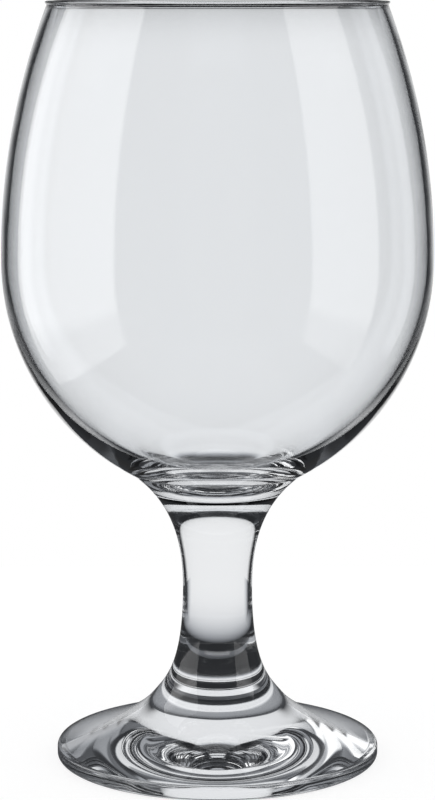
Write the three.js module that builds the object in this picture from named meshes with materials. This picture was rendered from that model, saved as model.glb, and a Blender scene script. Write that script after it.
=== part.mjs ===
// A stemmed water goblet of clear glass. Millimetres, +Z up, standing on z = 0 with its axis on Z.
// Three pieces of glass are welded face to face: the bowl, the stem and the foot.

import * as THREE from "three";

// Heights, from the table upwards
const COLLAR_HEIGHT = 13; // weld of foot and stem
const STEM_LENGTH = 48.5; // from that weld to the neck, where the bowl's round turns into a flare
const WAIST_SHARE = 0.495; // of that length, from the weld to the waist
const BOWL_HEIGHT = 98.5; // from the neck to the top of the rim
const WIDEST_RISE = 44.9; // of the widest ring over the neck

// Bowl
const BOWL_RADIUS = 45.05; // at the widest ring
const BELLY_WALL = 1.42; // at the widest ring
const NECK_RADIUS = 18.27;
const BOTTOM_DROP = 1.4; // of the inside bottom under the neck
const BOTTOM_ROUND = 26;

// Rim
const MOUTH_RADIUS = 34.4; // of the circle through the middle of the rim
const RIM_WALL = 1.5; // of the wall under the rim
const RIM_WIDTH = 2.1;
const RIM_ROUND = 0.3; // height of its rounded top
const RIM_TAPER = 0.7; // height over which the wall widens to the rim

// Stem
const WAIST_RADIUS = 7.35;
const NECK_ANGLE = 35.7; // of the outline to the level, in degrees, at the neck
const NECK_PULL = 0.466; // length of the curve's handle there, as a share of the height from waist to neck
const OVER_WAIST_PULL = 0.33;
const UNDER_WAIST_PULL = 0.716; // as a share of the height from collar to waist, like the next
const STEM_COLLAR_PULL = 0.19;
const WELD_SHARE = 0.2; // of the flare under the neck that belongs to the bowl
const COLLAR_ANGLE = 49.6; // of the outline at the collar, where stem and foot share it
const COLLAR_RADIUS = 14;

// Foot
const FOOT_RADIUS = 34.3;
const FOOT_TOP_ANGLE = 20; // of its upper face to the level at the edge, in degrees
const COLLAR_PULL = 0.381; // length of the upper face's handles, as shares of its width
const EDGE_PULL = 0.333;
const EDGE_UPRIGHT_TOP = 2.2; // the upright part of the edge ends here
const EDGE_TOP_ROUND = 1;
const EDGE_BOTTOM_ROUND = 0.9;
const RING_WIDTH = 1.85; // of the flat ring it stands on
const HOLLOW_DEPTH = 2.97; // of the hollow under the foot, at the axis
const HOLLOW_EDGE_ANGLE = 6.6; // of the hollow to the level at the ring, in degrees
const HOLLOW_EDGE_PULL = 0.168; // length of the hollow's handles, as shares of its radius
const HOLLOW_TOP_PULL = 0.169;

// Fineness of the facets
const ROUND_STEPS = 60;
const CHORD_ERROR = 0.06;
const FLARE_STEPS = 10;
const SMALL_STEPS = 3;
const ROUND_PULL = 0.55; // handle with which a curve comes close to a quarter of an ellipse

const neckHeight = COLLAR_HEIGHT + STEM_LENGTH;
const waistHeight = COLLAR_HEIGHT + STEM_LENGTH * WAIST_SHARE;
const widestHeight = neckHeight + WIDEST_RISE;
const rimHeight = neckHeight + BOWL_HEIGHT;
const bottomHeight = neckHeight - BOTTOM_DROP;
const neckAngle = THREE.MathUtils.degToRad(NECK_ANGLE);
const collarAngle = THREE.MathUtils.degToRad(COLLAR_ANGLE);
const footTopAngle = THREE.MathUtils.degToRad(FOOT_TOP_ANGLE);
const hollowEdgeAngle = THREE.MathUtils.degToRad(HOLLOW_EDGE_ANGLE);

// A point of an outline: its distance from the axis and its height
function at(radius, height) {
  return new THREE.Vector2(radius, height);
}

// A step of a given length from a point, at an angle over the level
function stepFrom(point, length, angle) {
  return at(point.x + length * Math.cos(angle), point.y + length * Math.sin(angle));
}

// Points of a circle's arc between two angles, both ends included
function arc(circle, fromAngle, toAngle) {
  const finest = 2 * Math.acos(1 - CHORD_ERROR / circle.radius);
  const steps = Math.max(2, Math.ceil(Math.abs(toAngle - fromAngle) / finest));
  const points = [];
  for (let i = 0; i <= steps; i += 1) {
    points.push(stepFrom(circle.centre, circle.radius, fromAngle + ((toAngle - fromAngle) * i) / steps));
  }
  return points;
}

// Points of a curve with two handles, between two shares of it
function flare(corners, steps = FLARE_STEPS, first = 0, last = 1) {
  const curve = new THREE.CubicBezierCurve(...corners);
  const points = [];
  for (let i = 0; i <= steps; i += 1) {
    points.push(curve.getPoint(first + ((last - first) * i) / steps));
  }
  return points;
}

// The circle that stands upright at the widest ring, on a given radius, and passes through a point
function uprightCircle(widestRadius, point) {
  const inward = widestRadius - point.x;
  const rise = point.y - widestHeight;
  const radius = (inward * inward + rise * rise) / (2 * inward);
  return { centre: at(widestRadius - radius, widestHeight), radius };
}

// The circle that stands upright at the widest ring and runs smoothly into a smaller one on the axis
function touchingCircle(widestRadius, smaller) {
  const drop = widestHeight - smaller.centre.y;
  const spare = widestRadius ** 2 + drop ** 2 - smaller.radius ** 2;
  const radius = spare / (2 * (widestRadius - smaller.radius));
  return { centre: at(widestRadius - radius, widestHeight), radius };
}

// The angle at which a circle carries a point
function angleOn(circle, point) {
  return Math.atan2(point.y - circle.centre.y, point.x - circle.centre.x);
}

// One outline from stretches that meet end to end
function joined(...stretches) {
  const points = [];
  for (const point of stretches.flat()) {
    if (points.length === 0 || points.at(-1).distanceTo(point) > 1e-6) {
      points.push(point);
    }
  }
  return points;
}

// A named piece of glass turned from an outline that runs from the axis on top, outside and back below
function turned(name, outline, colour) {
  const geometry = new THREE.LatheGeometry(outline.reverse(), ROUND_STEPS);
  geometry.rotateX(Math.PI / 2);
  const material = new THREE.MeshStandardMaterial({ color: colour, roughness: 0.05 });
  const mesh = new THREE.Mesh(geometry, material);
  mesh.name = name;
  return mesh;
}

// The curve from the neck to the waist, of which the bowl has the upper share and the stem the rest
function neckFlare(steps, first, last) {
  const span = neckHeight - waistHeight;
  const neck = at(NECK_RADIUS, neckHeight);
  const underNeck = stepFrom(neck, -NECK_PULL * span, neckAngle);
  const overWaist = at(WAIST_RADIUS, waistHeight + OVER_WAIST_PULL * span);
  return flare([neck, underNeck, overWaist, at(WAIST_RADIUS, waistHeight)], steps, first, last);
}

// One side of the rim, from the wall to the middle of its top: the inside (-1) or the outside (1)
function rimSide(wall, lean, side) {
  const widest = at(MOUTH_RADIUS + (side * RIM_WIDTH) / 2, rimHeight - RIM_ROUND);
  const top = at(MOUTH_RADIUS, rimHeight);
  const alongWall = stepFrom(wall, 0.4 * RIM_TAPER, lean + Math.PI / 2);
  const underWidest = at(widest.x, widest.y - 0.4 * RIM_TAPER);
  const overWidest = at(widest.x, widest.y + ROUND_PULL * RIM_ROUND);
  const besideTop = at(top.x + (side * ROUND_PULL * RIM_WIDTH) / 2, top.y);
  return joined(
    flare([wall, alongWall, underWidest, widest], SMALL_STEPS),
    flare([widest, overWidest, besideTop, top], SMALL_STEPS),
  );
}

// The bowl: two arcs meet upright at the widest ring, on either face of the wall, over a round inside bottom
function makeBowl() {
  const insideRadius = BOWL_RADIUS - BELLY_WALL;
  const underRim = rimHeight - RIM_ROUND - RIM_TAPER;
  const innerWall = at(MOUTH_RADIUS - RIM_WALL / 2, underRim);
  const outerWall = at(MOUTH_RADIUS + RIM_WALL / 2, underRim);
  const innerUpper = uprightCircle(insideRadius, innerWall);
  const outerUpper = uprightCircle(BOWL_RADIUS, outerWall);
  const innerLean = angleOn(innerUpper, innerWall);
  const outerLean = angleOn(outerUpper, outerWall);
  const bottom = { centre: at(0, bottomHeight + BOTTOM_ROUND), radius: BOTTOM_ROUND };
  const innerLower = touchingCircle(insideRadius, bottom);
  const bottomEnd = angleOn(innerLower, bottom.centre);
  const outerLower = uprightCircle(BOWL_RADIUS, at(NECK_RADIUS, neckHeight));
  const neck = neckFlare(SMALL_STEPS, 0, WELD_SHARE);

  return turned("bowl", joined(
    [at(0, bottomHeight)],
    arc(bottom, -Math.PI / 2, bottomEnd),
    arc(innerLower, bottomEnd, 0),
    arc(innerUpper, 0, innerLean),
    rimSide(innerWall, innerLean, -1),
    rimSide(outerWall, outerLean, 1).reverse(),
    arc(outerUpper, outerLean, 0),
    arc(outerLower, 0, angleOn(outerLower, neck[0])),
    neck,
    [at(0, neck.at(-1).y)],
  ), 0xdfe6e8);
}

// The stem: solid, drawn in to a waist, flaring into the bowl above and into the foot below
function makeStem() {
  const span = waistHeight - COLLAR_HEIGHT;
  const neck = neckFlare(FLARE_STEPS, WELD_SHARE, 1);
  const collar = at(COLLAR_RADIUS, COLLAR_HEIGHT);
  const underWaist = at(WAIST_RADIUS, waistHeight - UNDER_WAIST_PULL * span);
  const overCollar = stepFrom(collar, -STEM_COLLAR_PULL * span, -collarAngle);

  return turned("stem", joined(
    [at(0, neck[0].y)],
    neck,
    flare([neck.at(-1), underWaist, overCollar, collar]),
    [at(0, COLLAR_HEIGHT)],
  ), 0xd9e1e4);
}

// The foot: a disc that sweeps up to the collar, with a rounded edge, a flat standing ring and a hollow
function makeFoot() {
  const collar = at(COLLAR_RADIUS, COLLAR_HEIGHT);
  const topRound = { centre: at(FOOT_RADIUS - EDGE_TOP_ROUND, EDGE_UPRIGHT_TOP), radius: EDGE_TOP_ROUND };
  const bottomCentre = at(FOOT_RADIUS - EDGE_BOTTOM_ROUND, EDGE_BOTTOM_ROUND);
  const bottomRound = { centre: bottomCentre, radius: EDGE_BOTTOM_ROUND };
  const edgeAngle = Math.PI / 2 - footTopAngle;
  const edge = stepFrom(topRound.centre, EDGE_TOP_ROUND, edgeAngle);
  const sweep = edge.x - collar.x;
  const collarHandle = stepFrom(collar, COLLAR_PULL * sweep, -collarAngle);
  const edgeHandle = stepFrom(edge, -EDGE_PULL * sweep, -footTopAngle);
  const ringInside = at(bottomCentre.x - RING_WIDTH, 0);
  const hollowHandle = stepFrom(ringInside, -HOLLOW_EDGE_PULL * ringInside.x, -hollowEdgeAngle);
  const hollowTop = at(0, HOLLOW_DEPTH);
  const topHandle = at(HOLLOW_TOP_PULL * ringInside.x, HOLLOW_DEPTH);

  return turned("foot", joined(
    [at(0, COLLAR_HEIGHT)],
    flare([collar, collarHandle, edgeHandle, edge]),
    arc(topRound, edgeAngle, 0),
    arc(bottomRound, 0, -Math.PI / 2),
    flare([ringInside, hollowHandle, topHandle, hollowTop]),
  ), 0xdde4e6);
}

const group = new THREE.Group();
group.name = "water_goblet";
group.add(makeBowl(), makeStem(), makeFoot());

export default group;
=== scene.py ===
"""Looks of a stemmed water goblet: three welded pieces of clear glass on a pale table in a bright studio."""

import math

import bpy
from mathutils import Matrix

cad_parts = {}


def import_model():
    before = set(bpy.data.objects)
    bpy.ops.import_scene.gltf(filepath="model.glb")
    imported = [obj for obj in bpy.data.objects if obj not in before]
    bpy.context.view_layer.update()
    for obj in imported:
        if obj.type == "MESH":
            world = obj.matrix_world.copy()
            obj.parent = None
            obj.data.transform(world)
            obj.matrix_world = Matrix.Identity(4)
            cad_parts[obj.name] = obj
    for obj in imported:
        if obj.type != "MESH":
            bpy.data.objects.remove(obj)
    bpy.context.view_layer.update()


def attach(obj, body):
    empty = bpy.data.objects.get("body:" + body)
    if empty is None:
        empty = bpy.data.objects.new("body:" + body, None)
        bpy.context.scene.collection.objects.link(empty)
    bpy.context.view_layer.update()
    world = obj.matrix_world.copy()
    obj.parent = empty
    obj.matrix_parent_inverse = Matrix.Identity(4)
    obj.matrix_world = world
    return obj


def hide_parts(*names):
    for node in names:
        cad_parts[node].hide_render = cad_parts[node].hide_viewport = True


MM = 0.001

# Heights, in millimetres
COLLAR_HEIGHT = 13.0
STEM_LENGTH = 48.5
WAIST_HEIGHT = 37.0
BOWL_HEIGHT = 98.5
WIDEST_RISE = 44.9
BOTTOM_DROP = 1.4
NECK_HEIGHT = COLLAR_HEIGHT + STEM_LENGTH
WIDEST_HEIGHT = NECK_HEIGHT + WIDEST_RISE
RIM_HEIGHT = NECK_HEIGHT + BOWL_HEIGHT
BOTTOM_HEIGHT = NECK_HEIGHT - BOTTOM_DROP

# Bowl
BOWL_RADIUS = 45.05
MOUTH_RADIUS = 34.4
NECK_RADIUS = 18.27
RIM_WALL = 1.5
BELLY_WALL = 1.42
RIM_WIDTH = 2.1
RIM_ROUND = 0.3
RIM_TAPER = 0.7
RIM_TAPER_PULL = 0.4
ROUND_PULL = 0.55
BOTTOM_ROUND = 26.0

# Stem
WAIST_RADIUS = 7.35
NECK_ANGLE = math.radians(35.7)
NECK_PULL = 0.466
OVER_WAIST_PULL = 0.33
UNDER_WAIST_PULL = 0.716
STEM_COLLAR_PULL = 0.19
WELD_SHARE = 0.2
COLLAR_ANGLE = math.radians(49.6)
COLLAR_RADIUS = 14.0

# Foot
FOOT_RADIUS = 34.3
FOOT_TOP_ANGLE = math.radians(20.0)
COLLAR_PULL = 0.381
EDGE_PULL = 0.333
EDGE_UPRIGHT_TOP = 2.2
EDGE_TOP_ROUND = 1.0
EDGE_BOTTOM_ROUND = 0.9
RING_WIDTH = 1.85
RING_EDGE = FOOT_RADIUS - EDGE_BOTTOM_ROUND
HOLLOW_EDGE = RING_EDGE - RING_WIDTH
HOLLOW_DEPTH = 2.97
HOLLOW_EDGE_ANGLE = math.radians(6.6)
HOLLOW_EDGE_PULL = 0.168
HOLLOW_TOP_PULL = 0.169

# Glass: clouds of tint, waves in the bowl and wear under the foot, with noises as scale and detail
GLASS_IOR = 1.52
GLASS_CLEAR = (0.982, 0.99, 0.998, 1)
GLASS_TINT = (0.973, 0.986, 0.998, 1)
CLOUD_NOISE = (0.035, 2.0)
WAVE_NOISE = (0.09, 1.0)
WAVE_HEIGHT = 0.02
WAVY_FROM = (66, 84)
SCUFF_NOISE = (1.4, 3.0)
SCUFF_RANGE = (0.48, 0.66)
RING_WEAR = 0.14
RING_SOFT = 0.3
RING_REACH = 0.05

# Fineness of the outlines
ARC_STEP = math.radians(1.5)
ARC_LENGTH = 0.8
FEWEST_ARC_STEPS = 4
FLARE_STEPS = 64
RIM_STEPS = 20
FLAT_STEPS = 6
EDGE_STEPS = 4
SAME_POINT = 1e-6

# Turning, in metres and radians, and a weld height in millimetres that no piece reaches
ROUND_STEPS = 192
AXIS_OFFSET = 10 * MM
MERGE_DISTANCE = 1e-7
CREASE_ANGLE = 0.6
WELD_REACH = 1e-6
NO_WELD = 1000

# Photograph's camera, in millimetres and pixels
CAMERA_PLACE = (0.0, -546.7, 165.03)
CAMERA_DIP = math.radians(9.166)
FOCAL_PIXELS = 2630.6
FRAME_HEIGHT = 800
SENSOR = 36.0

# Studio: light as a share of white, angles in degrees round from the view direction and over the level
WHITE = (1, 1, 1, 1)
COOL = (0.95, 1.0, 1.09, 1)
STUDIO_DARK = 0.02
PANEL_LIGHT = 0.92
MIRRORED_PANEL = 0.84
PANEL_TURN = 62
PANEL_RISE = (-28, 66)
PANEL_SOFT = (4, 3)
EDGE_PANEL_TURN = 25
EDGE_PANEL_RISE = (-28, 22)
EDGE_PANEL_SOFT = (6, 3)

# Softboxes on the left and the right, with soft feet and heads
SOFTBOX_SOFT = 1.5
SOFTBOX_HEAD = (36, 46)
LEFT_SOFTBOX_TURN = (-125, -41)
LEFT_SOFTBOX_FOOT = (-40, -36)
LEFT_SOFTBOX_LIGHT = (1.4, 2.6)
LEFT_SOFTBOX_RAMP = (45, 85)
LEFT_HEAD_LOSS = 0.65
LEFT_HEAD_END = 62
RIGHT_SOFTBOX_TURN = (87, 130)
RIGHT_SOFTBOX_FOOT = (-45, -31)
RIGHT_SOFTBOX_LIGHT = 2.0

# Studio as light shows it that was mirrored often inside the glass (deep), or so often that it is lost
DEEP_MIRRORS = 4
DEEP_DARK = 0.05
DEEP_LEFT_TURN = (-148, -82)
DEEP_RIGHT_TURN = (82, 154)
DEEP_RISE = (-12, 23)
DEEP_SOFT = (4, 3)
DEEP_LEFT_LIGHT = 1.35
DEEP_RIGHT_LIGHT = 0.38
LOST_MIRRORS = 13
LOST_LIGHT = 0.014
LOST_EDGE_LIGHT = 0.1
LOST_EDGE_TURN = (60, 68)

# Black cards behind the goblet, on both sides and over it, in millimetres
CARD_LIGHT = 0.03
CARD_FADE = (50, 72)
CARD_REACH = 130
CARD_BACK = 55
CARD_TOP = 260
CARD_LEAN = 7
CARD_LEAN_RISE = (118, 158)
TOP_CARD_BACK = 54
TOP_CARD_REACH = 46
TOP_CARD_FADE = (145, 165)

# Table, a hair under the standing ring: what the camera sees, and the painted shade that shows through the
# glass
TABLE_HALF = (138, 180)
TABLE_DROP = 0.05
TABLE_COLOUR = (0.9, 0.9, 0.9, 1)
TABLE_LIGHT = 1.1
TABLE_LIGHT_SHARE = 0.72
TABLE_DARK = 0.06
TABLE_SHADE = 0.025
TABLE_SIDE_FADE = (42, 74)
SHADE_END = 50.0
SHADE_REACH = 22.0
GRAZING_LENGTH = (-16, -12)
GRAZING_LOSS = 0.85
THRICE_LOSS = 0.5
DEEP_LOSS = 0.3
BOWL_REFRACTIONS = 4
BOWL_VIEW_START = (46, 56)
BOWL_VIEW_LENGTH = (72, 86)

# Painted bright spots on the table under the foot, by distance from the axis, for light mirrored 0, 1, 2 or
# more times
GLOW_START = (13, 20)
GLOW_END = (30.2, 32)
GLOW_SIDE_LIGHT = 0.9
GLOW_SIDE_REACH = 1.6
GLOW_BACK_LIGHT = 0.1
GLOW_FALL = 0.05
ONCE_GLOW = 0.5
ONCE_GLOW_START = (19, 26)
TWICE_GLOW = 0.26
TWICE_GLOW_START = (20, 25)
RING_GLOW = 0.6
RING_GLOW_START = (28.5, 30)
RING_GLOW_END = (31, 32.5)
DEEP_GLOW = 0.16
DEEP_GLOW_LEFT = 0.9
DEEP_GLOW_START = (10, 22)
DEEP_GLOW_STEP = (28, 30)
DEEP_GLOW_LOSS = 0.5
DEEP_GLOW_END = (36, 40)

# Dark boards beside and behind the goblet
BOARD_PLACE = 100
BOARD_HEIGHT = 75
BOARD_SOLID = (25, 28)
BOARD_SHEER = (58, 75)
BOARD_VEIL = 0.45
BACK_BOARD_PLACE = 58
BACK_BOARD_HEIGHT = 22
LOW_BOARD_PLACE = 59
LOW_BOARD_GAP = (10, 16)
LOW_BOARD_FADE = (11, 27)

# Bounces that light may take through the glass
GLASS_BOUNCES = 36
MIRROR_BOUNCES = 32
CLEAR_BOUNCES = 64


# Outlines of the three pieces, as (distance from the axis, height)


def step_from(point, length, angle):
    """A point at a given length and angle over the level from another."""
    return (point[0] + length * math.cos(angle), point[1] + length * math.sin(angle))


def arc(centre, radius, start, end):
    """Points of an arc between two angles, close enough for smooth reflections."""
    span = abs(end - start)
    steps = max(FEWEST_ARC_STEPS, math.ceil(span / ARC_STEP), math.ceil(span * radius / ARC_LENGTH))
    return [step_from(centre, radius, start + (end - start) * i / steps) for i in range(steps + 1)]


def flare(start, start_handle, end_handle, end, first=0.0, last=1.0, steps=FLARE_STEPS):
    """Points of a curve with two handles, or of a part of it."""
    points = []
    for i in range(steps + 1):
        t = first + (last - first) * i / steps
        weights = ((1 - t) ** 3, 3 * t * (1 - t) ** 2, 3 * t * t * (1 - t), t**3)
        corners = (start, start_handle, end_handle, end)
        points.append(tuple(sum(w * c[k] for w, c in zip(weights, corners)) for k in (0, 1)))
    return points


def straight(start, end, steps):
    """Points of a straight line, both ends included."""
    return [tuple(start[k] + (end[k] - start[k]) * i / steps for k in (0, 1)) for i in range(steps + 1)]


def upright_circle(widest, point):
    """Centre and radius of the circle that stands upright at the widest ring and passes through a point."""
    inward = widest - point[0]
    rise = point[1] - WIDEST_HEIGHT
    radius = (inward * inward + rise * rise) / (2 * inward)
    return (widest - radius, WIDEST_HEIGHT), radius


def angle_on(circle, point):
    """Angle at which a circle carries a point."""
    return math.atan2(point[1] - circle[0][1], point[0] - circle[0][0])


def joined(*stretches):
    """One outline from stretches that meet end to end."""
    points = []
    for stretch in stretches:
        for point in stretch:
            if not points or math.dist(points[-1], point) > SAME_POINT:
                points.append(point)
    return points


def neck_flare(first, last):
    """Points of the curve from the round of the bowl to the waist of the stem."""
    span = NECK_HEIGHT - WAIST_HEIGHT
    neck = (NECK_RADIUS, NECK_HEIGHT)
    waist = (WAIST_RADIUS, WAIST_HEIGHT)
    under_neck = step_from(neck, -NECK_PULL * span, NECK_ANGLE)
    over_waist = (WAIST_RADIUS, WAIST_HEIGHT + OVER_WAIST_PULL * span)
    return flare(neck, under_neck, over_waist, waist, first, last)


def rim_side(neck, lean, side):
    """From the wall under the rim to the middle of the rim's top, on the inside (-1) or the outside (1)."""
    widest = (MOUTH_RADIUS + side * RIM_WIDTH / 2, RIM_HEIGHT - RIM_ROUND)
    top = (MOUTH_RADIUS, RIM_HEIGHT)
    along_wall = step_from(neck, RIM_TAPER_PULL * RIM_TAPER, lean + math.pi / 2)
    under_widest = (widest[0], widest[1] - RIM_TAPER_PULL * RIM_TAPER)
    over_widest = (widest[0], widest[1] + ROUND_PULL * RIM_ROUND)
    beside_top = (top[0] + side * ROUND_PULL * RIM_WIDTH / 2, top[1])
    taper = flare(neck, along_wall, under_widest, widest, steps=RIM_STEPS)
    bead = flare(widest, over_widest, beside_top, top, steps=RIM_STEPS)
    return joined(taper, bead)


def bowl_outline():
    """From the middle of the round inside bottom, up the inside, over the bead and down to the weld."""
    inside = BOWL_RADIUS - BELLY_WALL
    under_rim = RIM_HEIGHT - RIM_ROUND - RIM_TAPER
    inner_neck = (MOUTH_RADIUS - RIM_WALL / 2, under_rim)
    outer_neck = (MOUTH_RADIUS + RIM_WALL / 2, under_rim)
    inner_upper = upright_circle(inside, inner_neck)
    outer_upper = upright_circle(BOWL_RADIUS, outer_neck)
    outer_lower = upright_circle(BOWL_RADIUS, (NECK_RADIUS, NECK_HEIGHT))
    bottom = ((0, BOTTOM_HEIGHT + BOTTOM_ROUND), BOTTOM_ROUND)
    drop = WIDEST_HEIGHT - bottom[0][1]
    inner_radius = (inside**2 + drop**2 - BOTTOM_ROUND**2) / (2 * (inside - BOTTOM_ROUND))
    inner_lower = ((inside - inner_radius, WIDEST_HEIGHT), inner_radius)
    bottom_end = angle_on(inner_lower, bottom[0])
    inner_lean = angle_on(inner_upper, inner_neck)
    outer_lean = angle_on(outer_upper, outer_neck)
    neck = neck_flare(0, WELD_SHARE)
    return joined(
        arc(*bottom, -math.pi / 2, bottom_end),
        arc(*inner_lower, bottom_end, 0),
        arc(*inner_upper, 0, inner_lean),
        rim_side(inner_neck, inner_lean, -1),
        reversed(rim_side(outer_neck, outer_lean, 1)),
        arc(*outer_upper, outer_lean, 0),
        arc(*outer_lower, 0, angle_on(outer_lower, neck[0])),
        neck,
        straight(neck[-1], (0, neck[-1][1]), FLAT_STEPS),
    )


def stem_outline():
    """From the upper weld down the outside to the lower weld."""
    neck = neck_flare(WELD_SHARE, 1)
    span = WAIST_HEIGHT - COLLAR_HEIGHT
    collar = (COLLAR_RADIUS, COLLAR_HEIGHT)
    under_waist = (WAIST_RADIUS, WAIST_HEIGHT - UNDER_WAIST_PULL * span)
    over_collar = step_from(collar, -STEM_COLLAR_PULL * span, -COLLAR_ANGLE)
    return joined(
        straight((0, neck[0][1]), neck[0], FLAT_STEPS),
        neck,
        flare(neck[-1], under_waist, over_collar, collar),
        straight(collar, (0, COLLAR_HEIGHT), FLAT_STEPS),
    )


def foot_outline():
    """From the collar over the upper face and the edge to the standing ring and the hollow."""
    collar = (COLLAR_RADIUS, COLLAR_HEIGHT)
    top_round = (FOOT_RADIUS - EDGE_TOP_ROUND, EDGE_UPRIGHT_TOP)
    bottom_round = (RING_EDGE, EDGE_BOTTOM_ROUND)
    edge = step_from(top_round, EDGE_TOP_ROUND, math.pi / 2 - FOOT_TOP_ANGLE)
    sweep = edge[0] - collar[0]
    collar_handle = step_from(collar, COLLAR_PULL * sweep, -COLLAR_ANGLE)
    edge_handle = step_from(edge, -EDGE_PULL * sweep, -FOOT_TOP_ANGLE)
    ring_inside = (HOLLOW_EDGE, 0)
    hollow_handle = step_from(ring_inside, -HOLLOW_EDGE_PULL * HOLLOW_EDGE, -HOLLOW_EDGE_ANGLE)
    top_handle = (HOLLOW_TOP_PULL * HOLLOW_EDGE, HOLLOW_DEPTH)
    return joined(
        straight((0, COLLAR_HEIGHT), collar, FLAT_STEPS),
        flare(collar, collar_handle, edge_handle, edge),
        arc(top_round, EDGE_TOP_ROUND, math.pi / 2 - FOOT_TOP_ANGLE, 0),
        straight((FOOT_RADIUS, EDGE_UPRIGHT_TOP), (FOOT_RADIUS, EDGE_BOTTOM_ROUND), EDGE_STEPS),
        arc(bottom_round, EDGE_BOTTOM_ROUND, 0, -math.pi / 2),
        straight((RING_EDGE, 0), ring_inside, FLAT_STEPS),
        flare(ring_inside, hollow_handle, top_handle, (0, HOLLOW_DEPTH)),
    )


# Node trees


class Value:
    """A number in a node tree. An expression on it adds Math nodes."""

    def __init__(self, tree, socket):
        self.tree = tree
        self.socket = socket

    def __add__(self, other):
        return self.tree.math("ADD", self, other)

    def __radd__(self, other):
        return self.tree.math("ADD", other, self)

    def __sub__(self, other):
        return self.tree.math("SUBTRACT", self, other)

    def __rsub__(self, other):
        return self.tree.math("SUBTRACT", other, self)

    def __mul__(self, other):
        return self.tree.math("MULTIPLY", self, other)

    def __rmul__(self, other):
        return self.tree.math("MULTIPLY", other, self)

    def __truediv__(self, other):
        return self.tree.math("DIVIDE", self, other)

    def __gt__(self, other):
        return self.tree.math("GREATER_THAN", self, other)

    def __lt__(self, other):
        return self.tree.math("LESS_THAN", self, other)

    def at_least(self, count):
        """1 where a whole number reaches the count, and 0 elsewhere."""
        return self > count - 0.5


class Tree:
    """A node tree that is filled by one method, with short forms for numbers, colours and surfaces."""

    def __init__(self, tree):
        self.tree = tree

    def node(self, kind, settings=None, sockets=None):
        """Adds a node, sets it up and then feeds its sockets."""
        made = self.tree.nodes.new(kind)
        for name, value in (settings or {}).items():
            setattr(made, name, value)
        self.feed(made, sockets or {})
        return made

    def feed(self, made, sockets):
        """Gives a node's sockets values or links, by name or by place."""
        for key, value in sockets.items():
            socket = made.inputs[key] if isinstance(key, int) else self.named(made, key)
            if isinstance(value, Value):
                value = value.socket
            if isinstance(value, bpy.types.NodeSocket):
                self.tree.links.new(value, socket)
            else:
                socket.default_value = value

    def named(self, made, name):
        """The input of that name which the node's settings leave in use."""
        return next(socket for socket in made.inputs if socket.name == name and socket.enabled)

    def value(self, socket):
        """A number to calculate with, from a node's output."""
        return Value(self, socket)

    def values(self, vector):
        """The three numbers of a vector."""
        split = self.node("ShaderNodeSeparateXYZ", None, {"Vector": vector})
        return [self.value(socket) for socket in split.outputs]

    def math(self, operation, *terms):
        """A Math node's result."""
        made = self.node("ShaderNodeMath", {"operation": operation}, dict(enumerate(terms)))
        return self.value(made.outputs[0])

    def ease(self, number, low, high):
        """0 up to the low end, 1 from the high end on, and a soft step between them."""
        made = self.node(
            "ShaderNodeMapRange",
            {"interpolation_type": "SMOOTHSTEP"},
            {"Value": number, "From Min": low, "From Max": high},
        )
        return self.value(made.outputs["Result"])

    def ramp(self, number, low, high):
        """0 up to the low end, 1 from the high end on, and an even rise between them."""
        made = self.node("ShaderNodeMapRange", None, {"Value": number, "From Min": low, "From Max": high})
        return self.value(made.outputs["Result"])

    def band(self, number, low, high, soft):
        """1 between two limits, with soft ends."""
        return self.ease(number, low - soft, low + soft) * (1 - self.ease(number, high - soft, high + soft))

    def noise(self, place, scale, detail):
        """Soft random numbers over a surface."""
        made = self.node("ShaderNodeTexNoise", None, {"Vector": place, "Scale": scale, "Detail": detail})
        return self.value(made.outputs[0])

    def mixed_colour(self, share, first, second):
        """A colour between two others."""
        made = self.node("ShaderNodeMix", {"data_type": "RGBA"}, {"Factor": share, "A": first, "B": second})
        return made.outputs[2]

    def mixed_surface(self, share, first, second):
        """A surface between two others."""
        return self.node("ShaderNodeMixShader", None, {0: share, 1: first, 2: second}).outputs[0]

    def glowing(self, colour, light):
        """A surface with light of its own."""
        return self.node("ShaderNodeEmission", None, {"Color": colour, "Strength": light}).outputs[0]


# Turning an outline into glass with Geometry Nodes


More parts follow.
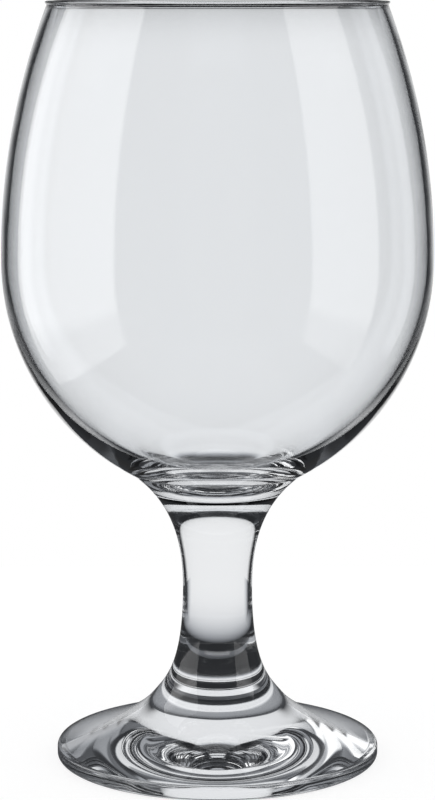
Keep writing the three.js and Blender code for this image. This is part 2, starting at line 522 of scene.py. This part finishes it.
def turning_tree():
    """The tree that turns an outline about the axis and gives the weld faces their own clear material."""
    group = bpy.data.node_groups.new("turned_glass", "GeometryNodeTree")
    for name, kind in (
        ("Outline", "Geometry"),
        ("Steps round", "Int"),
        ("Axis offset", "Float"),
        ("Upper weld", "Float"),
        ("Lower weld", "Float"),
        ("Glass", "Material"),
        ("Weld glass", "Material"),
    ):
        group.interface.new_socket(name, in_out="INPUT", socket_type="NodeSocket" + kind)
    group.interface.new_socket("Piece", in_out="OUTPUT", socket_type="NodeSocketGeometry")

    tree = Tree(group)
    given = tree.node("NodeGroupInput").outputs
    offset = tree.value(given["Axis offset"])
    shift = tree.node("ShaderNodeCombineXYZ", None, {"X": offset * -1})
    drawn = tree.node(
        "GeometryNodeTransform",
        None,
        {"Geometry": given["Outline"], "Translation": shift.outputs[0]},
    )
    upright = tree.node(
        "GeometryNodeTransform",
        None,
        {"Geometry": drawn.outputs[0], "Rotation": (math.pi, 0, 0)},
    )
    circle = tree.node(
        "GeometryNodeCurvePrimitiveCircle",
        {"mode": "RADIUS"},
        {"Resolution": given["Steps round"], "Radius": offset},
    )
    swept = tree.node(
        "GeometryNodeCurveToMesh",
        None,
        {"Curve": circle.outputs[0], "Profile Curve": upright.outputs[0]},
    )
    closed = tree.node(
        "GeometryNodeMergeByDistance",
        None,
        {"Geometry": swept.outputs[0], "Distance": MERGE_DISTANCE},
    )
    smooth = tree.node("GeometryNodeSetShadeSmooth", {"domain": "FACE"}, {"Geometry": closed.outputs[0]})
    corner = tree.value(tree.node("GeometryNodeInputMeshEdgeAngle").outputs[0]) > CREASE_ANGLE
    creased = tree.node(
        "GeometryNodeSetShadeSmooth",
        {"domain": "EDGE"},
        {"Geometry": smooth.outputs[0], "Selection": corner, "Shade Smooth": False},
    )
    height = tree.values(tree.node("GeometryNodeInputPosition").outputs[0])[2]
    from_upper = tree.math("ABSOLUTE", height - tree.value(given["Upper weld"]))
    from_lower = tree.math("ABSOLUTE", height - tree.value(given["Lower weld"]))
    on_weld = tree.math("MINIMUM", from_upper, from_lower) < WELD_REACH
    whole = tree.node("GeometryNodeRealizeInstances", None, {"Geometry": creased.outputs[0]})
    clear = tree.node(
        "GeometryNodeSetMaterial",
        None,
        {"Geometry": whole.outputs[0], "Material": given["Glass"]},
    )
    welded = tree.node(
        "GeometryNodeSetMaterial",
        None,
        {"Geometry": clear.outputs[0], "Selection": on_weld, "Material": given["Weld glass"]},
    )
    tree.node("NodeGroupOutput", None, {"Piece": welded.outputs[0]})
    return group


def turned_piece(name, outline, tree, upper_weld, lower_weld, glass, weld_glass):
    """A closed piece of glass turned from its outline, as a plain mesh."""
    curve = bpy.data.curves.new(name + "_outline", "CURVE")
    curve.dimensions = "3D"
    spline = curve.splines.new("POLY")
    spline.points.add(len(outline) - 1)
    for point, (radius, height) in zip(spline.points, outline):
        point.co = (radius * MM, height * MM, 0, 1)
    drawn = bpy.data.objects.new(name + "_outline", curve)
    bpy.context.scene.collection.objects.link(drawn)
    maker = drawn.modifiers.new("turning", "NODES")
    maker.node_group = tree
    values = {
        "Steps round": ROUND_STEPS,
        "Axis offset": AXIS_OFFSET,
        "Upper weld": upper_weld * MM,
        "Lower weld": lower_weld * MM,
        "Glass": glass,
        "Weld glass": weld_glass,
    }
    for socket in tree.interface.items_tree:
        if socket.name in values:
            maker[socket.identifier] = values[socket.name]
    graph = bpy.context.evaluated_depsgraph_get()
    mesh = bpy.data.meshes.new_from_object(drawn.evaluated_get(graph), depsgraph=graph)
    bpy.data.objects.remove(drawn)
    bpy.data.curves.remove(curve)
    mesh.name = name
    piece = bpy.data.objects.new(name, mesh)
    bpy.context.scene.collection.objects.link(piece)
    return piece


# Materials


def clear_glass():
    """Clear glass: a cool tint in faint clouds, slight waves in the blown bowl and wear under the foot."""
    material = bpy.data.materials.new("clear_glass")
    material.use_nodes = True
    tree = Tree(material.node_tree)
    place = tree.node("ShaderNodeTexCoord").outputs["Object"]
    to_mm = (1 / MM, 1 / MM, 1 / MM)
    in_mm = tree.node("ShaderNodeMapping", None, {"Vector": place, "Scale": to_mm}).outputs[0]
    across, along, height = tree.values(in_mm)
    away = tree.math("SQRT", across * across + along * along)
    tint = tree.mixed_colour(tree.noise(in_mm, *CLOUD_NOISE), GLASS_CLEAR, GLASS_TINT)
    waves = tree.noise(in_mm, *WAVE_NOISE) * tree.ease(height, *WAVY_FROM)
    bump = tree.node(
        "ShaderNodeBump",
        None,
        {"Strength": 1.0, "Distance": WAVE_HEIGHT * MM, "Height": waves},
    )
    on_ring = tree.band(away, HOLLOW_EDGE, RING_EDGE, RING_SOFT) * (height < RING_REACH)
    worn = on_ring * tree.ease(tree.noise(in_mm, *SCUFF_NOISE), *SCUFF_RANGE) * RING_WEAR
    tree.feed(
        material.node_tree.nodes["Principled BSDF"],
        {
            "Base Color": tint,
            "Roughness": worn,
            "IOR": GLASS_IOR,
            "Normal": bump.outputs[0],
            "Transmission Weight": 1,
        },
    )
    return material


def weld_glass():
    """See-through faces where two pieces are fused, so that the glass is one melt."""
    material = bpy.data.materials.new("weld_glass")
    material.use_nodes = True
    shader = material.node_tree.nodes["Principled BSDF"]
    shader.inputs["Alpha"].default_value = 0
    return material


# The stage


def camera():
    """The photograph's camera, in front of the goblet and tipped down a little."""
    data = bpy.data.cameras.new("camera")
    data.sensor_width = SENSOR
    data.lens = SENSOR * FOCAL_PIXELS / FRAME_HEIGHT
    made = bpy.data.objects.new("camera", data)
    made.location = [value * MM for value in CAMERA_PLACE]
    made.rotation_euler = (math.pi / 2 - CAMERA_DIP, 0, 0)
    bpy.context.scene.collection.objects.link(made)
    bpy.context.scene.camera = made


class LightPath:
    """How a point is seen: by the camera itself or after refractions and mirrorings, and from how far."""

    def __init__(self, tree):
        path = tree.node("ShaderNodeLightPath").outputs
        self.seen = tree.value(path["Is Camera Ray"])
        self.refracted = tree.value(path["Transmission Depth"])
        self.mirrored = tree.value(path["Glossy Depth"])
        self.length = tree.value(path["Ray Length"]) / MM


def softboxes(tree, turn, rise):
    """The light of the two softboxes in a direction."""
    faint, full = LEFT_SOFTBOX_LIGHT
    head = tree.ease(rise, *SOFTBOX_HEAD)
    left = tree.band(turn, *LEFT_SOFTBOX_TURN, SOFTBOX_SOFT) * tree.ease(rise, *LEFT_SOFTBOX_FOOT)
    left = left * (1 - LEFT_HEAD_LOSS * head) * (rise < LEFT_HEAD_END)
    left = left * (faint + (full - faint) * tree.ramp(turn * -1, *LEFT_SOFTBOX_RAMP))
    right = tree.band(turn, *RIGHT_SOFTBOX_TURN, SOFTBOX_SOFT) * tree.ease(rise, *RIGHT_SOFTBOX_FOOT)
    return left + right * (1 - head) * RIGHT_SOFTBOX_LIGHT


def trapped_light(tree, turn, rise, mirrored):
    """What light shows in a direction after it was mirrored inside the glass."""
    across, upright = DEEP_SOFT
    low = tree.band(rise, *DEEP_RISE, upright)
    deep_left = tree.band(turn, *DEEP_LEFT_TURN, across) * low * (DEEP_LEFT_LIGHT - DEEP_DARK)
    deep_right = tree.band(turn, *DEEP_RIGHT_TURN, across) * low * (DEEP_RIGHT_LIGHT - DEEP_DARK)
    deep = deep_left + deep_right + (DEEP_DARK - STUDIO_DARK)
    around = STUDIO_DARK + mirrored.at_least(DEEP_MIRRORS) * deep
    across, upright = PANEL_SOFT
    panel = tree.band(turn, -PANEL_TURN, PANEL_TURN, across) * tree.band(rise, *PANEL_RISE, upright)
    light = around + panel * (MIRRORED_PANEL - around)
    ahead = 1 - tree.ramp(tree.math("ABSOLUTE", turn), *LOST_EDGE_TURN)
    return light + mirrored.at_least(LOST_MIRRORS) * (LOST_LIGHT + LOST_EDGE_LIGHT * ahead - light)


def world():
    """A bright backdrop that the glass shows straight through, and a dark studio in its reflections."""
    made = bpy.data.worlds.new("studio")
    made.use_nodes = True
    made.node_tree.nodes.clear()
    tree = Tree(made.node_tree)
    x, y, z = tree.values(tree.node("ShaderNodeTexCoord").outputs["Generated"])
    turn = tree.math("DEGREES", tree.math("ARCTAN2", x, y))
    rise = tree.math("DEGREES", tree.math("ARCSINE", z))
    path = LightPath(tree)
    across, upright = EDGE_PANEL_SOFT
    ahead = tree.band(turn, -EDGE_PANEL_TURN, EDGE_PANEL_TURN, across)
    ahead = ahead * tree.band(rise, *EDGE_PANEL_RISE, upright)
    outside = softboxes(tree, turn, rise) + STUDIO_DARK + ahead * PANEL_LIGHT
    inside = path.refracted.at_least(1)
    reflected = inside * trapped_light(tree, turn, rise, path.mirrored) + (1 - inside) * outside
    through = PANEL_LIGHT + path.mirrored.at_least(1) * (reflected - PANEL_LIGHT)
    bright = path.seen + (1 - path.seen) * through
    tint = tree.mixed_colour(bright, COOL, WHITE)
    back = tree.node("ShaderNodeBackground", None, {"Color": tint, "Strength": bright})
    tree.node("ShaderNodeOutputWorld", None, {"Surface": back.outputs[0]})
    bpy.context.scene.world = made


def stage_material(name):
    """An empty material for the stage, with its tree."""
    material = bpy.data.materials.new(name)
    material.use_nodes = True
    material.node_tree.nodes.clear()
    return material, Tree(material.node_tree)


def place_in_mm(tree):
    """Where a point of the stage lies."""
    return [value / MM for value in tree.values(tree.node("ShaderNodeTexCoord").outputs["Object"])]


def partly_solid(tree, solid, colour, light):
    """Ends a stage material that is dark where it is solid and see-through elsewhere."""
    clear = tree.node("ShaderNodeBsdfTransparent").outputs[0]
    mixed = tree.mixed_surface(solid, clear, tree.glowing(colour, light))
    tree.node("ShaderNodeOutputMaterial", None, {"Surface": mixed})


def sheet(name, corners, material):
    """A flat piece of the stage."""
    mesh = bpy.data.meshes.new(name)
    mesh.from_pydata([[value * MM for value in corner] for corner in corners], [], [range(len(corners))])
    mesh.materials.append(material)
    made = bpy.data.objects.new(name, mesh)
    bpy.context.scene.collection.objects.link(made)
    return made


def upright_sheet(name, start, end, bottom, top, material):
    """An upright sheet between two points of the table, which only the glass shows."""
    made = sheet(name, [(*start, bottom), (*end, bottom), (*end, top), (*start, top)], material)
    made.visible_camera = False
    made.visible_diffuse = False
    made.visible_shadow = False


def cards():
    """Black cards behind the goblet, on both sides and over it, which draw the dark edges of the glass."""
    material, tree = stage_material("side_card")
    x, _, height = place_in_mm(tree)
    from_middle = tree.math("ABSOLUTE", x) + CARD_LEAN * tree.ramp(height, *CARD_LEAN_RISE)
    partly_solid(tree, tree.ramp(from_middle, *CARD_FADE), COOL, CARD_LIGHT)
    ends = ((-CARD_REACH, CARD_BACK), (CARD_REACH, CARD_BACK))
    upright_sheet("side_card", *ends, 0, CARD_TOP, material)

    material, tree = stage_material("top_card")
    _, _, height = place_in_mm(tree)
    solid = tree.ramp(height, *TOP_CARD_FADE)
    partly_solid(tree, solid * solid * solid, COOL, CARD_LIGHT)
    ends = ((-TOP_CARD_REACH, TOP_CARD_BACK), (TOP_CARD_REACH, TOP_CARD_BACK))
    upright_sheet("top_card", *ends, TOP_CARD_FADE[0], CARD_TOP, material)


def painted_glow_under_foot(tree, x, away, mirrored):
    """Painted bright spots on the table, standing for light the glass throws, as light mirrored 0, 1, 2 or
    more times meets them.
    """
    sideways = tree.math("ABSOLUTE", x) / away
    sideways = sideways * sideways
    short_of_ring = 1 - tree.ease(away, *GLOW_END)
    side = GLOW_SIDE_LIGHT - GLOW_FALL * (away - GLOW_START[1])
    never = tree.ease(away, *GLOW_START) * (GLOW_BACK_LIGHT + sideways * (side - GLOW_BACK_LIGHT))
    never = never * (1 - tree.ease(away - GLOW_SIDE_REACH * sideways, *GLOW_END))
    once = ONCE_GLOW * tree.ease(away, *ONCE_GLOW_START) * short_of_ring
    ring = tree.ease(away, *RING_GLOW_START) * (1 - tree.ease(away, *RING_GLOW_END))
    twice = TWICE_GLOW * tree.ramp(away, *TWICE_GLOW_START) * short_of_ring + RING_GLOW * ring
    leftward = tree.math("MAXIMUM", x * -1 / away, 0)
    deep = (DEEP_GLOW + DEEP_GLOW_LEFT * leftward) * tree.ramp(away, *DEEP_GLOW_START)
    deep = deep * (1 - DEEP_GLOW_LOSS * tree.ease(away, *DEEP_GLOW_STEP))
    deep = deep * (1 - tree.ease(away, *DEEP_GLOW_END))
    painted_glow = never + mirrored.at_least(1) * (once - never)
    return painted_glow + mirrored.at_least(2) * (twice - once) + mirrored.at_least(3) * (deep - twice)


def painted_table_shade(tree, x, y, away, path):
    """How brightly the table round the goblet shows through the glass, as a share of the backdrop: painted
    shade, dark near the foot and towards the sides.
    """
    behind = tree.math("MAXIMUM", y, CARD_BACK)
    at_back = y > 0
    once = path.mirrored.at_least(1)
    painted_light = 1 - tree.math("EXPONENT", tree.math("MAXIMUM", away - SHADE_END, 0) / -SHADE_REACH)
    painted_light = painted_light * (1 - tree.ramp(tree.math("ABSOLUTE", x) * CARD_BACK / behind, *TABLE_SIDE_FADE))
    steep = tree.ease(path.length - away, *GRAZING_LENGTH) * at_back
    grazing = GRAZING_LOSS * (once - path.mirrored.at_least(2)) * (1 - steep)
    often = THRICE_LOSS * path.mirrored.at_least(3) + DEEP_LOSS * path.mirrored.at_least(DEEP_MIRRORS)
    painted_light = painted_light * (1 - grazing - often) * (1 - path.mirrored.at_least(LOST_MIRRORS))
    through_bowl = path.refracted.at_least(BOWL_REFRACTIONS) * (1 - once)
    far = 1 - at_back * (1 - tree.ease(path.length, *BOWL_VIEW_LENGTH))
    return painted_light + through_bowl * tree.ease(away, *BOWL_VIEW_START) * far * (1 - painted_light)


def table():
    """Pale table: white with the goblet's shadow to the camera; behind glass, painted shade and painted
    bright spots near the foot.
    """
    material, tree = stage_material("table")
    x, y, _ = place_in_mm(tree)
    away = tree.math("SQRT", x * x + y * y)
    path = LightPath(tree)
    painted_light = painted_table_shade(tree, x, y, away, path)
    painted_glow = painted_glow_under_foot(tree, x, away, path.mirrored)
    # Painted shade near the foot and to the sides, and painted bright spots, which only the glass shows
    through_glass = TABLE_SHADE + painted_glow + painted_light * (PANEL_LIGHT - TABLE_SHADE)
    shown = TABLE_DARK + path.refracted.at_least(1) * (through_glass - TABLE_DARK)
    under = tree.glowing(tree.mixed_colour(shown, COOL, WHITE), shown)
    plain = tree.node("ShaderNodeBsdfDiffuse", None, {"Color": TABLE_COLOUR}).outputs[0]
    pale = tree.mixed_surface(TABLE_LIGHT_SHARE, plain, tree.glowing(WHITE, TABLE_LIGHT))
    tree.node("ShaderNodeOutputMaterial", None, {"Surface": tree.mixed_surface(path.seen, under, pale)})
    across, along = TABLE_HALF
    corners = ((-across, -along), (across, -along), (across, along), (-across, along))
    sheet("table", [(*corner, -TABLE_DROP) for corner in corners], material)


def boards():
    """Dark boards beside and behind the goblet, which only the reflections on its outside show."""
    material, tree = stage_material("dark_board")
    _, _, height = place_in_mm(tree)
    outside = 1 - LightPath(tree).refracted.at_least(1)
    veil = BOARD_VEIL * (1 - tree.ease(height, *BOARD_SHEER))
    solid = veil + (1 - veil) * (1 - tree.ease(height, *BOARD_SOLID))
    partly_solid(tree, solid * outside, WHITE, TABLE_DARK)
    along, aside, back = TABLE_HALF[1], BOARD_PLACE, BACK_BOARD_PLACE
    upright_sheet("board_left", (-aside, -along), (-aside, along), 0, BOARD_HEIGHT, material)
    upright_sheet("board_right", (aside, -along), (aside, along), 0, BOARD_HEIGHT, material)
    upright_sheet("board_back", (-aside, back), (aside, back), 0, BACK_BOARD_HEIGHT, material)


def low_board():
    """Low dark board behind the goblet, open in the middle, shown to light mirrored once inside the glass."""
    material, tree = stage_material("low_board")
    x, _, height = place_in_mm(tree)
    path = LightPath(tree)
    mirrored_once = path.mirrored.at_least(1) - path.mirrored.at_least(2)
    beside_gap = tree.ease(tree.math("ABSOLUTE", x), *LOW_BOARD_GAP)
    solid = beside_gap * (1 - tree.ramp(height, *LOW_BOARD_FADE))
    partly_solid(tree, solid * path.refracted.at_least(1) * mirrored_once, COOL, TABLE_DARK)
    ends = ((-BOARD_PLACE, LOW_BOARD_PLACE), (BOARD_PLACE, LOW_BOARD_PLACE))
    upright_sheet("low_board", *ends, 0, LOW_BOARD_FADE[1], material)


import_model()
glass = clear_glass()
weld = weld_glass()
turning = turning_tree()
weld_height = neck_flare(WELD_SHARE, 1)[0][1]
for node, outline, upper, lower in (
    ("bowl", bowl_outline(), NO_WELD, weld_height),
    ("stem", stem_outline(), weld_height, COLLAR_HEIGHT),
    ("foot", foot_outline(), COLLAR_HEIGHT, -NO_WELD),
):
    piece = turned_piece(node + "_glass", outline, turning, upper, lower, glass, weld)
    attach(piece, "root")
    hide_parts(node)
camera()
world()
cards()
table()
boards()
low_board()
scene = bpy.context.scene
scene.view_settings.view_transform = "Standard"
scene.cycles.max_bounces = GLASS_BOUNCES
scene.cycles.transmission_bounces = GLASS_BOUNCES
scene.cycles.glossy_bounces = MIRROR_BOUNCES
scene.cycles.transparent_max_bounces = CLEAR_BOUNCES
